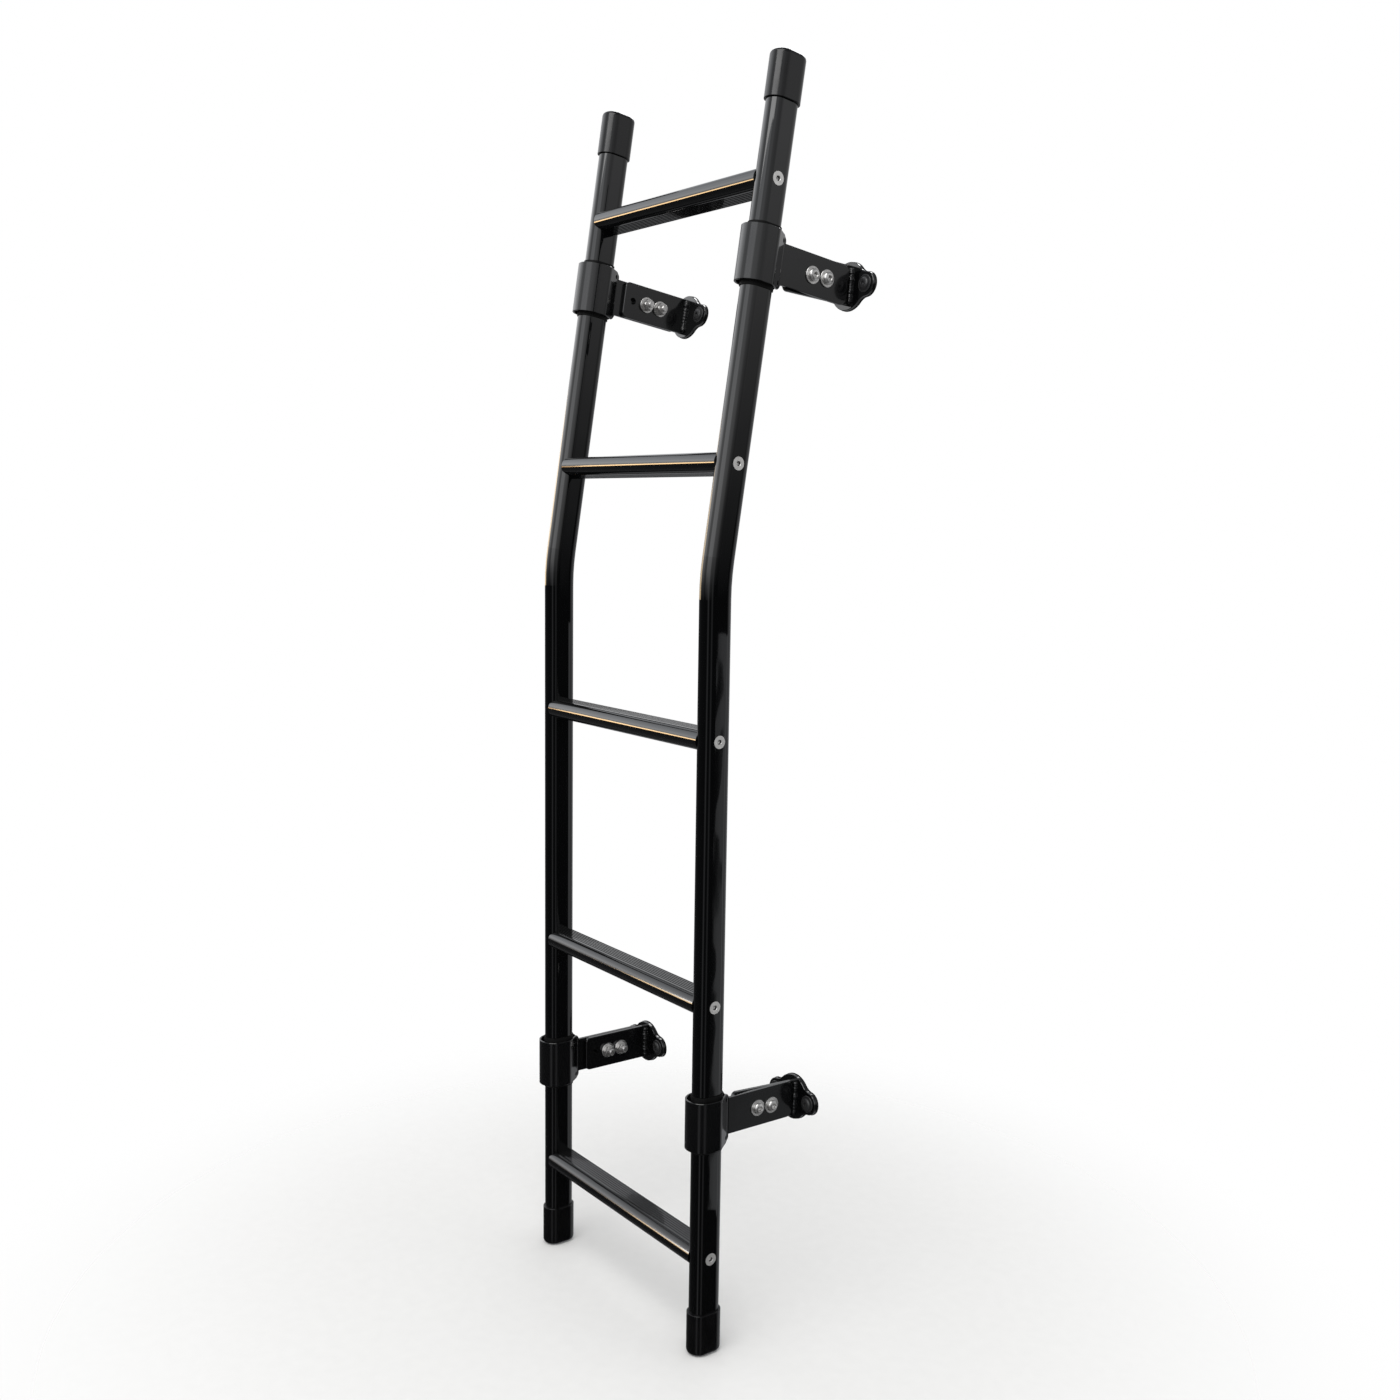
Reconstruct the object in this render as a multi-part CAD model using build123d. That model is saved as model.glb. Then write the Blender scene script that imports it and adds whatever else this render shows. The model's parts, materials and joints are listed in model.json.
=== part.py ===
import os
from math import cos, degrees, radians, sin, tan

from build123d import *

# Bolt-on ladder: two bent rails, five bolted rungs and four standoff brackets.
# Millimetres, +X to the right, +Y from the rails towards the feet, +Z up.
# The origin is the centre of the flat back face of the lower right foot pad.

# Side rails: flat-sided oval tube with one bend, the upper part leaning towards the feet
rail_depth = 38.0
rail_width = 25.0
rail_wall = 2.0
rail_spacing = 329.0
rail_below_first_rung = 115.5
rail_above_last_rung = 130.5
bend_height = 789.0
bend_radius = 290.0
lean_angle = 8.8

# Rungs: hollow extrusion with a round nose, grooved top and underside, and a screw port
rung_count = 5
rung_pitch = 305.0
rung_height = 22.4
rung_front = 19.8
rung_rear = 14.5
rung_wall = 2.4
rung_rear_radius = 1.5
rung_lap = 6.5
groove_count = 6
groove_pitch = 3.6
groove_width = 1.7
groove_depth = 1.1
groove_edge = 0.25
groove_rear_margin = 2.8
nose_groove_gap = 4.8
port_wall = 3.0
port_web = 3.0

# Countersunk bolts that hold the rungs
rung_bolt_radius = 4.0
rung_bolt_head_radius = 7.4
rung_bolt_length = 60.0
rung_socket_width = 5.0
rung_socket_depth = 3.0

# Slip-over end caps
cap_length = 51.5
cap_wall = 2.2
cap_end = 3.5
cap_edge_radius = 5.5
cap_rim_radius = 0.6

# Bracket places along the rails: the upper ones down from the last rung, the lower ones up from the first
upper_left_drop = 83.3
upper_right_drop = 82.0
lower_right_height = 165.2
lower_left_height = 137.0

# Clamp strap, with flanks that close on the arm behind the rail, and rubber liner
clamp_height = 60.0
clamp_offset = 7.5
strap_thickness = 2.2
flank_length = 20.0
flank_bend_radius = 9.0
ear_length = 2.0
ear_root_radius = 3.0
ear_corner_radius = 7.0
clamp_hole_radius = 2.6
clamp_hole_margin = 5.0
clamp_hole_end_margin = 7.0
liner_lip_thickness = 1.0
liner_lip = 4.0
liner_recess = 8.0
liner_rear = 1.8

# Arm plates: the clamp arm and, on its inner side, the foot arm
arm_thickness = 5.0
arm_height = 44.3
arm_corner_radius = 8.0
arm_bolt_place = 73.0
arm_hole_pitch = 21.0
arm_hole_play = 1.0
arm_to_foot_gap = 8.0
foot_arm_start = 39.0
foot_arm_corner_radius = 6.0

# Feet: lobed base plate and rubber pad, with the degrees that the right feet are turned up on their arm bolts
standoff = 140.0
upper_right_foot_turn = 4.0
lower_right_foot_turn = -3.2
foot_inset = 8.0
plate_thickness = 3.5
plate_radius = 27.0
lobe_radius = 13.5
lobe_root_radius = 16.0
foot_hole_spacing = 59.0
foot_hole_radius = 4.25
weld_leg = 3.4
weld_end_gap = 3.0
pad_thickness = 2.0
pad_overhang = 0.5

# Arm bolts, washers and lock nuts
arm_bolt_radius = 4.0
arm_bolt_head_radius = 7.0
arm_bolt_head_height = 4.4
arm_bolt_dome_radius = 3.4
arm_bolt_tip = 3.0
arm_bolt_tip_chamfer = 0.7
arm_socket_width = 5.0
arm_socket_depth = 2.5
washer_radius = 9.7
washer_thickness = 1.6
nut_width = 13.0
nut_height = 6.2
nut_collar_radius = 5.8
nut_collar_height = 1.8
nut_corner_chamfer = 1.0

# Hex sockets of the bolts: width of the broken rim beyond the corners, and the drilled point in the floor
socket_rim = 0.15
drill_share = 0.85
drill_tip = 0.3
drill_slope = 28.0

# Broken edges of plates, straps and washers
plate_edge = 0.6
strap_edge = 0.5
washer_edge = 0.3

# Clearances between pieces that fit one in another
slip_clearance = 0.15
bolt_clearance = 0.25
thread_clearance = 0.1
cope_clearance = 0.1
seat_gap = 0.3

# Values worked out from the ones above
half_spacing = rail_spacing / 2
bend_length = bend_radius * radians(lean_angle)
bend_start = bend_height - bend_length / 2
last_rung = (rung_count - 1) * rung_pitch
rail_face = rail_width / 2
rung_half_length = half_spacing - rail_face + rung_lap
rail_straight = (rail_depth - rail_width) / 2
clamp_half_width = rail_face + clamp_offset
flank_end = rail_straight + flank_length
ear_end = flank_end + ear_length
ear_face = arm_thickness / 2 + strap_thickness
liner_end = rail_depth / 2 + liner_rear
arm_hole_radius = arm_bolt_radius + arm_hole_play
bolt_hole_radius = arm_bolt_radius + bolt_clearance
arm_front = liner_end + seat_gap
plate_back = standoff - pad_thickness
plate_front = plate_back - plate_thickness
arm_end = plate_front - arm_to_foot_gap
arm_bolt_places = [arm_bolt_place, arm_bolt_place + arm_hole_pitch]
foot_arm_holes = [arm_bolt_place - arm_hole_pitch] + arm_bolt_places
arm_bolt_middle = arm_bolt_place + arm_hole_pitch / 2
arm_outer = arm_thickness / 2
arm_inner = -arm_thickness / 2
foot_arm_inner = arm_inner - arm_thickness

os.makedirs("parts", exist_ok=True)


def rail_frame(distance):
    # Place and lean of the rail's centre line at a distance along it from the first rung
    turned = min(max(distance - bend_start, 0), bend_length) / bend_radius
    below = min(distance, bend_start)
    above = max(distance - bend_start - bend_length, 0)
    y = bend_radius * (1 - cos(turned)) + above * sin(turned)
    z = below + bend_radius * sin(turned) + above * cos(turned)
    return Location((0, y, z), (-degrees(turned), 0, 0))


def at_rail(side, distance):
    # Frame on one rail: side is 1 for the right rail and -1 for the left one
    return Location((side * half_spacing, 0, 0)) * rail_frame(distance)


def sided(shape, side):
    # Pieces are drawn for the right rail, and mirrored for the left one
    return shape if side > 0 else mirror(shape, Plane.YZ)


def foot_turn(angle):
    # Turn of a foot and its fasteners about the middle of the two arm bolts
    return Pos(0, arm_bolt_middle, 0) * Rot(angle, 0, 0) * Pos(0, -arm_bolt_middle, 0)


lower_right_foot = at_rail(1, lower_right_height) * foot_turn(lower_right_foot_turn)
origin_shift = Pos(-(lower_right_foot * Pos(-foot_inset, standoff, 0)).position)


def save(name, shapes):
    placed = [origin_shift * shape for shape in shapes]
    model = placed[0] if len(placed) == 1 else Compound(children=placed)
    export_step(model, f"parts/{name}.step")


def oval(offset):
    # Outline of the rail's section, moved out by an offset, long side along Y
    return SlotOverall(rail_depth + 2 * offset, rail_width + 2 * offset, rotation=90)


def x_cylinder(radius, start, end, y=0, z=0):
    # Cylinder along X from start to end
    middle = (start + end) / 2
    return Location((middle, y, z), (0, 90, 0)) * Cylinder(radius, end - start)


def x_hexagon(width, start, end, y=0, z=0):
    # Hexagonal prism along X, width measured across its flats
    plane = Plane((start, y, z), x_dir=(0, 1, 0), z_dir=(1, 0, 0))
    return extrude(plane * RegularPolygon(width / 2, 6, major_radius=False), end - start)


def x_cone(start_radius, end_radius, start, end, y=0):
    # Cone along X, with its radius at start and at end
    middle = (start + end) / 2
    return Location((middle, y, 0), (0, 90, 0)) * Cone(start_radius, end_radius, end - start)


def with_socket(bolt, width, depth, face, y=0):
    # Hex socket cut in from the face of a bolt head: straight walls, broken rim, drilled point
    flat = width / 2
    floor = face - depth
    rim = flat / cos(radians(30)) + socket_rim
    point = drill_share * flat
    point_depth = (point - drill_tip) * tan(radians(drill_slope))
    bolt -= x_hexagon(width, floor, face + depth, y)
    bolt -= x_cone(point, rim, face - rim + point, face, y)
    return bolt - x_cone(drill_tip, point, floor - point_depth, floor, y)


def x_plate(y_start, y_end, height, x_start, x_end, corner_radius, round_rear):
    # Upright plate normal to X, with its two front or two rear corners rounded
    middle = (y_start + y_end) / 2
    face = Plane.YZ * (Pos(middle, 0) * Rectangle(y_end - y_start, height))
    corners = face.vertices().sort_by(Axis.Y)
    face = fillet(corners[-2:] if round_rear else corners[:2], corner_radius)
    return Pos(x_start, 0, 0) * extrude(face, x_end - x_start)


def break_ends(shape, axis, size):
    # Chamfer along the outlines of the two end faces across an axis
    faces = shape.faces().sort_by(axis)
    return chamfer(faces[0].edges() + faces[-1].edges(), size)


# Rails


def rail_path():
    low = -rail_below_first_rung
    upper_run = last_rung + rail_above_last_rung - bend_start - bend_length
    with BuildLine(Plane.YZ) as path:
        Line((0, low), (0, bend_start))
        bend = JernArc((0, bend_start), (0, 1), bend_radius, -lean_angle)
        Line(bend @ 1, bend @ 1 + (bend % 1) * upper_run)
    return path.wire()


def countersink(clearance):
    # Cone of a countersunk head, wide end flush with the rail's outer face, along X
    depth = rung_bolt_head_radius - rung_bolt_radius
    wide = rung_bolt_head_radius + clearance
    cone = Cone(rung_bolt_radius + clearance, wide, depth)
    return Location((rail_face - depth / 2, 0, 0), (0, 90, 0)) * cone


def rail():
    section = Pos(0, 0, -rail_below_first_rung) * (oval(0) - oval(-rail_wall))
    tube = sweep(section, path=rail_path())
    hole = x_cylinder(rung_bolt_radius + bolt_clearance, -rail_width, rail_face)
    cutter = hole + countersink(thread_clearance)
    for index in range(rung_count):
        tube -= rail_frame(index * rung_pitch) * cutter
    return tube


right_rail = Pos(half_spacing, 0, 0) * rail()
save("right_rail", [right_rail])
save("left_rail", [mirror(right_rail, Plane.YZ)])


# Rungs


def bull_nose(inset):
    # Rung outline with a half-round front, moved in by an inset
    radius = rung_height / 2 - inset
    centre = rung_height / 2 - rung_front
    rear = rung_rear - inset
    body = Pos((centre + rear) / 2, 0) * Rectangle(rear - centre, 2 * radius)
    return Pos(centre, 0) * Circle(radius) + body


def groove_outline():
    # Groove with broken edges, centred on the face that it is cut into
    half = groove_width / 2
    mouth_points = [(half + groove_edge, 0), (half, groove_edge), (-half, groove_edge)]
    mouth_points += [(-x, -y) for x, y in mouth_points]
    return Rectangle(groove_width, 2 * groove_depth) + Polygon(*mouth_points, align=None)


def rung():
    outline = bull_nose(0)
    corners = outline.vertices().sort_by(Axis.X)[-2:]
    outline = fillet(corners, rung_rear_radius)
    port_radius = rung_bolt_radius + thread_clearance
    port = Circle(port_radius + port_wall) + Rectangle(port_web, rung_height)
    section = outline - (bull_nose(rung_wall) - port)
    section -= Circle(port_radius)
    first_groove = rung_rear - groove_rear_margin
    places = [first_groove - index * groove_pitch for index in range(groove_count)]
    for place in places + [places[-1] - nose_groove_gap]:
        for face in (-1, 1):
            section -= Pos(place, face * rung_height / 2) * groove_outline()
    bar = extrude(Plane.YZ * section, rung_half_length, both=True)
    for side in (-1, 1):
        bar -= Pos(side * half_spacing, 0, 0) * extrude(oval(cope_clearance), rung_height, both=True)
    return bar


rung_model = rung()
for index in range(rung_count):
    save(f"rung_{index + 1}", [rail_frame(index * rung_pitch) * rung_model])


# Rung bolts


def rung_bolt():
    shank = x_cylinder(rung_bolt_radius, rail_face - rung_bolt_length, rail_face)
    return with_socket(shank + countersink(0), rung_socket_width, rung_socket_depth, rail_face)


rung_bolt_model = rung_bolt()
for side, side_name in ((-1, "left"), (1, "right")):
    bolts = [at_rail(side, index * rung_pitch) * sided(rung_bolt_model, side) for index in range(rung_count)]
    save(f"{side_name}_rung_bolts", bolts)


# End caps


def cap():
    # Closed end down at minus cap_end, rail end at zero
    shell = Pos(0, 0, -cap_end) * extrude(oval(slip_clearance + cap_wall), cap_length)
    bottom_edges = shell.edges().group_by(Axis.Z)[0]
    shell = fillet(bottom_edges, cap_edge_radius)
    shell = fillet(shell.edges().group_by(Axis.Z)[-1], cap_rim_radius)
    return shell - extrude(oval(slip_clearance), cap_length)


bottom_cap = cap()
top_cap = mirror(bottom_cap, Plane.XY)
for side, side_name in ((-1, "left"), (1, "right")):
    save(f"cap_bottom_{side_name}", [at_rail(side, -rail_below_first_rung) * bottom_cap])
    save(f"cap_top_{side_name}", [at_rail(side, last_rung + rail_above_last_rung) * top_cap])


# Bracket pieces, drawn at the right rail: X out from its centre plane, Y towards the foot, Z along the rail


def clamp_outline():
    # Outline round the rail: round front, flat sides, and straight flanks that close on the arm
    front = Pos(0, -rail_straight) * Circle(clamp_half_width)
    right = [
        (clamp_half_width, -rail_straight),
        (clamp_half_width, rail_straight),
        (ear_face, flank_end),
        (ear_face, ear_end),
    ]
    left = [(-x, y) for x, y in reversed(right)]
    outline = front + make_face(Polyline(*right, *left, close=True))
    outline = fillet(outline.vertices().group_by(Axis.Y)[-3], flank_bend_radius)
    return fillet(outline.vertices().group_by(Axis.Y)[-2], ear_root_radius)


def clamp_cavity(gap):
    # Inside of the strap, less a gap
    return offset(clamp_outline(), amount=-strap_thickness - gap)


def clamp_holes():
    # Two holes through each flank, square to it
    run = Vector(clamp_half_width - ear_face, rail_straight - flank_end, 0).normalized()
    square = Vector(-run.Y, run.X, 0)
    height = clamp_height / 2 - clamp_hole_end_margin
    drill = None
    for side in (-1, 1):
        for end in (-1, 1):
            place = Vector(ear_face, flank_end, 0) + run * clamp_hole_margin
            plane = Plane((side * place.X, place.Y, end * height), z_dir=(side * square.X, square.Y, 0))
            bore = plane * Cylinder(clamp_hole_radius, 4 * strap_thickness)
            drill = bore if drill is None else drill + bore
    return drill


def clamp():
    section = clamp_outline() - clamp_cavity(0)
    section -= Pos(0, ear_end / 2) * Rectangle(arm_thickness, ear_end)
    strap = extrude(section, clamp_height / 2, both=True)
    strap = break_ends(strap, Axis.Z, strap_edge)
    reach = clamp_half_width
    strap &= x_plate(-rail_straight - reach, ear_end, clamp_height, -reach, reach, ear_corner_radius, True)
    return strap - clamp_holes()


def liner():
    # Thick core inside the strap, with a thin sleeve that shows beyond both of its ends
    room = Pos(0, (liner_end - rail_depth) / 2) * Rectangle(2 * clamp_half_width, liner_end + rail_depth)
    core = extrude(clamp_cavity(slip_clearance) & room, clamp_height / 2 - liner_recess, both=True)
    sleeve = oval(slip_clearance + liner_lip_thickness) & clamp_cavity(slip_clearance)
    lip = extrude(sleeve, clamp_height / 2 + liner_lip, both=True)
    bore = extrude(oval(slip_clearance), clamp_height, both=True)
    return core + lip - bore


def arm():
    plate = x_plate(arm_front, arm_end, arm_height, arm_inner, arm_outer, arm_corner_radius, True)
    plate = break_ends(plate, Axis.X, plate_edge)
    for place in arm_bolt_places:
        plate -= x_cylinder(arm_hole_radius, arm_inner, arm_outer, place)
    return plate


def foot_outline(overhang):
    outline = Circle(plate_radius + overhang)
    for end in (-1, 1):
        outline += Pos(end * foot_hole_spacing / 2, 0) * Circle(lobe_radius + overhang)
    return fillet(outline.vertices(), lobe_root_radius)


def foot_plate(overhang, start, end):
    # Lobed plate normal to Y, its front edge broken, with its two bolt holes
    plane = Plane((-foot_inset, start, 0), x_dir=(1, 0, 0), z_dir=(0, 1, 0))
    plate = extrude(plane * foot_outline(overhang), end - start)
    plate = chamfer(plate.faces().sort_by(Axis.Y)[0].edges(), plate_edge)
    for side in (-1, 1):
        hole = plane * (Pos(side * foot_hole_spacing / 2, 0) * Circle(foot_hole_radius))
        plate -= extrude(hole, end - start)
    return plate


def weld(x, out):
    # Fillet bead between one side of the foot arm and the base plate
    corner = (x, plate_front)
    beside = (x + out * weld_leg, plate_front)
    before = (x, plate_front - weld_leg)
    face = make_face(Polyline(corner, beside, before, close=True))
    return extrude(face, arm_height / 2 - weld_end_gap, both=True)


def foot():
    rear = plate_front + plate_thickness / 2
    radius = foot_arm_corner_radius
    plate = x_plate(foot_arm_start, rear, arm_height, foot_arm_inner, arm_inner, radius, False)
    plate = break_ends(plate, Axis.X, plate_edge)
    for place in foot_arm_holes:
        plate -= x_cylinder(bolt_hole_radius, foot_arm_inner, arm_inner, place)
    return plate + foot_plate(0, plate_front, plate_back) + weld(arm_inner, 1) + weld(foot_arm_inner, -1)


def pad():
    return foot_plate(pad_overhang, plate_back, standoff)


def washer(start, place):
    disc = x_cylinder(washer_radius, start, start + washer_thickness, place)
    disc = break_ends(disc, Axis.X, washer_edge)
    return disc - x_cylinder(bolt_hole_radius, start, start + washer_thickness, place)


def arm_bolt(place):
    seat = arm_outer + washer_thickness
    top = seat + arm_bolt_head_height
    head = x_cylinder(arm_bolt_head_radius, seat, top, place)
    head = fillet(head.edges().group_by(Axis.X)[-1], arm_bolt_dome_radius)
    tip = nut_seat - nut_height - nut_collar_height - arm_bolt_tip
    shank = x_cylinder(arm_bolt_radius, tip, seat, place)
    shank = chamfer(shank.edges().group_by(Axis.X)[0], arm_bolt_tip_chamfer)
    return with_socket(head + shank, arm_socket_width, arm_socket_depth, top, place)


def nut(place):
    body = x_hexagon(nut_width, nut_seat - nut_height, nut_seat, place)
    corner_radius = nut_width / 2 / cos(radians(30))
    body &= break_ends(
        x_cylinder(corner_radius, nut_seat - nut_height, nut_seat, place), Axis.X, nut_corner_chamfer
    )
    collar_end = nut_seat - nut_height - nut_collar_height
    collar = x_cylinder(nut_collar_radius, collar_end, nut_seat, place)
    return body + collar - x_cylinder(arm_bolt_radius + thread_clearance, collar_end, nut_seat, place)


nut_seat = foot_arm_inner - washer_thickness
washer_starts = (arm_outer, nut_seat)
bracket_pieces = {
    "clamp": [clamp()],
    "liner": [liner()],
    "arm": [arm()],
    "foot": [foot()],
    "pad": [pad()],
    "arm_bolts": [arm_bolt(place) for place in arm_bolt_places],
    "arm_washers": [washer(start, place) for start in washer_starts for place in arm_bolt_places],
    "arm_nuts": [nut(place) for place in arm_bolt_places],
}
turned_pieces = ("foot", "pad", "arm_bolts", "arm_washers", "arm_nuts")
brackets = (
    ("upper_left", -1, last_rung - upper_left_drop, 0),
    ("upper_right", 1, last_rung - upper_right_drop, upper_right_foot_turn),
    ("lower_left", -1, lower_left_height, 0),
    ("lower_right", 1, lower_right_height, lower_right_foot_turn),
)


for bracket_name, side, height, turn in brackets:
    for piece_name, shapes in bracket_pieces.items():
        place = at_rail(side, height)
        if piece_name in turned_pieces:
            place = place * foot_turn(turn)
        save(f"{bracket_name}_{piece_name}", [place * sided(shape, side) for shape in shapes])
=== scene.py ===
import bpy
import bmesh
import json
import math
from mathutils import Matrix, Vector


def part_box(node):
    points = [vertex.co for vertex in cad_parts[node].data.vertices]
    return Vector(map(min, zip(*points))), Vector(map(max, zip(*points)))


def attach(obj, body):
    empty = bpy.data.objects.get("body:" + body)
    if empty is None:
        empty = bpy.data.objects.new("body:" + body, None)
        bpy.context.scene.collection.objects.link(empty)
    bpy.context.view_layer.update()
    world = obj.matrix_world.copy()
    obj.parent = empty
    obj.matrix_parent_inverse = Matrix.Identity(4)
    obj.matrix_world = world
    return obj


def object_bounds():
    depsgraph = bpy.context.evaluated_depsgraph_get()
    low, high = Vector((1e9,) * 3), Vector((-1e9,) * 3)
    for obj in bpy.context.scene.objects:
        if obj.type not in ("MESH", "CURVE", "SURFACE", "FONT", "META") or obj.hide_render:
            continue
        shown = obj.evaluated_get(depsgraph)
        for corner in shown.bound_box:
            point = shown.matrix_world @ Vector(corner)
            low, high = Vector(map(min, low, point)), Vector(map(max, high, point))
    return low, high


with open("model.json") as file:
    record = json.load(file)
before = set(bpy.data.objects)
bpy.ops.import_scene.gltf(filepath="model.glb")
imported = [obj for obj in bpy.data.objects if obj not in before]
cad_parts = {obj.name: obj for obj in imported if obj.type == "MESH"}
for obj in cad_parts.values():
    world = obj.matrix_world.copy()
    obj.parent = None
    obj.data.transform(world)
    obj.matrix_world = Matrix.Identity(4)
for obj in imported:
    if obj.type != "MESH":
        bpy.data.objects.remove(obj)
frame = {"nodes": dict(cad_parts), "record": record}        # nodes and record of the imported ladder
cadBox = [list(corner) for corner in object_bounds()]
mm = 0.001
noiseSpan = (0.3, 0.7)   # most values of a noise texture lie between these
unitSpan = (0.0, 1.0)
pureWhite = (1.0, 1.0, 1.0, 1.0)
scene = bpy.context.scene
scene.view_settings.view_transform = "Standard"
print("ladder frame loaded:", len(frame["nodes"]), "pieces")


# small helpers for node trees; a value that is fed in can be a number, a colour or another node's output

def addNode(tree, kind, **values):
    node = tree.nodes.new(kind)
    for name, value in values.items():
        setattr(node, name, value)
    return node


def feedInputs(tree, node, values):
    for label, value in values.items():
        if isinstance(value, bpy.types.NodeSocket):
            tree.links.new(value, node.inputs[label])
        else:
            node.inputs[label].default_value = value


def mathNode(tree, operation, *values):
    node = addNode(tree, "ShaderNodeMath", operation=operation)
    feedInputs(tree, node, dict(enumerate(values)))
    return node.outputs[0]


def mapRange(tree, value, fromSpan, toSpan):
    node = addNode(tree, "ShaderNodeMapRange")
    feedInputs(tree, node, {"Value": value, "From Min": fromSpan[0], "From Max": fromSpan[1],
                            "To Min": toSpan[0], "To Max": toSpan[1]})
    return node.outputs["Result"]


def mixColour(tree, factor, first, second):
    node = addNode(tree, "ShaderNodeMix", data_type="RGBA")
    feedInputs(tree, node, {0: factor, 6: first, 7: second})    # 6 and 7 are the two colours
    return node.outputs[2]


def mixValue(tree, factor, first, second):
    node = addNode(tree, "ShaderNodeMix", data_type="FLOAT")
    feedInputs(tree, node, {0: factor, 2: first, 3: second})    # 2 and 3 are the two numbers
    return node.outputs[0]


def noise(tree, vector, scale, detail):
    node = addNode(tree, "ShaderNodeTexNoise")
    feedInputs(tree, node, {"Vector": vector, "Scale": scale, "Detail": detail})
    return node.outputs["Fac"]


def axisOf(tree, vector, axis):
    node = addNode(tree, "ShaderNodeSeparateXYZ")
    feedInputs(tree, node, {0: vector})
    return node.outputs[axis]


def stretched(tree, vector, scale):
    node = addNode(tree, "ShaderNodeMapping")
    feedInputs(tree, node, {"Vector": vector, "Scale": scale})
    return node.outputs[0]


def shadeColour(tree, colour, value):
    node = addNode(tree, "ShaderNodeHueSaturation")
    feedInputs(tree, node, {"Color": colour, "Value": value})
    return node.outputs[0]


def rampNode(tree, factor, stops):
    node = addNode(tree, "ShaderNodeValToRGB")
    while len(node.color_ramp.elements) < len(stops):
        node.color_ramp.elements.new(0.5)
    for element, (place, colour) in zip(node.color_ramp.elements, stops):
        element.position = place
        element.color = colour
    feedInputs(tree, node, {"Fac": factor})
    return node.outputs["Color"]


# a surface group takes a place, a colour and some numbers, and gives colour, roughness and height

def surfaceGroup(name, numbers):
    group = bpy.data.node_groups.new(name, "ShaderNodeTree")
    inputs = {"Vector": "NodeSocketVector", "Colour": "NodeSocketColor"}
    inputs.update({label: "NodeSocketFloat" for label in numbers})
    outputs = {"Colour": "NodeSocketColor", "Roughness": "NodeSocketFloat", "Height": "NodeSocketFloat"}
    for way, sockets in (("INPUT", inputs), ("OUTPUT", outputs)):
        for label, kind in sockets.items():
            group.interface.new_socket(label, in_out=way, socket_type=kind)
    return group, addNode(group, "NodeGroupInput").outputs, addNode(group, "NodeGroupOutput")


# sprayed black coat: slow waves, fine orange peel, patches of haze, a breath of dust on top faces

coatSpray = {
    "peelDetail": 2.0, "waveDetail": 1.0, "hazeScale": 14.0, "hazeDetail": 4.0,
    "speckScale": 1700.0, "speckDetail": 1.0, "speckShare": 0.2, "hazeSpan": (0.32, 0.68),
    "topFaces": (0.75, 1.0), "filmSpan": (0.4, 0.7), "filmShare": (0.3, 1.0), "shade": (0.85, 1.2),
    "dustColour": (0.30, 0.29, 0.27, 1.0), "dustRough": 0.6,
}


def makeCoatSkin(look):
    group, given, result = surfaceGroup("coatSkin", [
        "Peel Scale", "Peel Share", "Wave Scale", "Gloss Low", "Gloss High", "Dust"])
    place = given["Vector"]
    peel = noise(group, place, given["Peel Scale"], look["peelDetail"])
    wave = noise(group, place, given["Wave Scale"], look["waveDetail"])
    height = mixValue(group, given["Peel Share"], wave, peel)
    haze = noise(group, place, look["hazeScale"], look["hazeDetail"])
    speck = noise(group, place, look["speckScale"], look["speckDetail"])
    hazy = mixValue(group, look["speckShare"], haze, speck)
    rough = mapRange(group, hazy, look["hazeSpan"], (given["Gloss Low"], given["Gloss High"]))
    normal = addNode(group, "ShaderNodeNewGeometry").outputs["Normal"]
    upward = mapRange(group, axisOf(group, normal, "Z"), look["topFaces"], unitSpan)
    film = mathNode(group, "MULTIPLY", upward, mapRange(group, haze, look["filmSpan"], look["filmShare"]))
    dusty = mathNode(group, "MULTIPLY", film, given["Dust"])
    shaded = shadeColour(group, given["Colour"], mapRange(group, haze, noiseSpan, look["shade"]))
    colour = mixColour(group, dusty, shaded, look["dustColour"])
    dulled = mathNode(group, "ADD", rough, mathNode(group, "MULTIPLY", dusty, look["dustRough"]))
    feedInputs(group, result, {"Colour": colour, "Roughness": dulled, "Height": height})
    return group


# moulded grain, for the end caps and the rubber

mouldPattern = {"flowDetail": 3.0, "flowShare": 0.5, "shade": (0.8, 1.25)}


def makeMouldGrain(look):
    group, given, result = surfaceGroup("mouldGrain", [
        "Grain Scale", "Flow Scale", "Gloss Low", "Gloss High"])
    place = given["Vector"]
    grain = addNode(group, "ShaderNodeTexVoronoi", feature="SMOOTH_F1")
    feedInputs(group, grain, {"Vector": place, "Scale": given["Grain Scale"]})
    flow = noise(group, place, given["Flow Scale"], look["flowDetail"])
    height = mixValue(group, look["flowShare"], grain.outputs["Distance"], flow)
    colour = shadeColour(group, given["Colour"], mapRange(group, flow, noiseSpan, look["shade"]))
    rough = mapRange(group, flow, noiseSpan, (given["Gloss Low"], given["Gloss High"]))
    feedInputs(group, result, {"Colour": colour, "Roughness": rough, "Height": height})
    return group


coatSkin = makeCoatSkin(coatSpray)
mouldGrain = makeMouldGrain(mouldPattern)


def newFinish(name):
    material = bpy.data.materials.new(name)
    material.use_nodes = True
    tree = material.node_tree
    shader = tree.nodes["Principled BSDF"]
    place = addNode(tree, "ShaderNodeTexCoord").outputs["Object"]
    return material, tree, shader, place


def addBump(tree, shader, height, look):
    bump = addNode(tree, "ShaderNodeBump")
    feedInputs(tree, bump, {"Height": height, "Distance": look["bumpDepth"],
                            "Strength": look["bumpStrength"]})
    feedInputs(tree, shader, {"Normal": bump.outputs["Normal"]})


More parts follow.
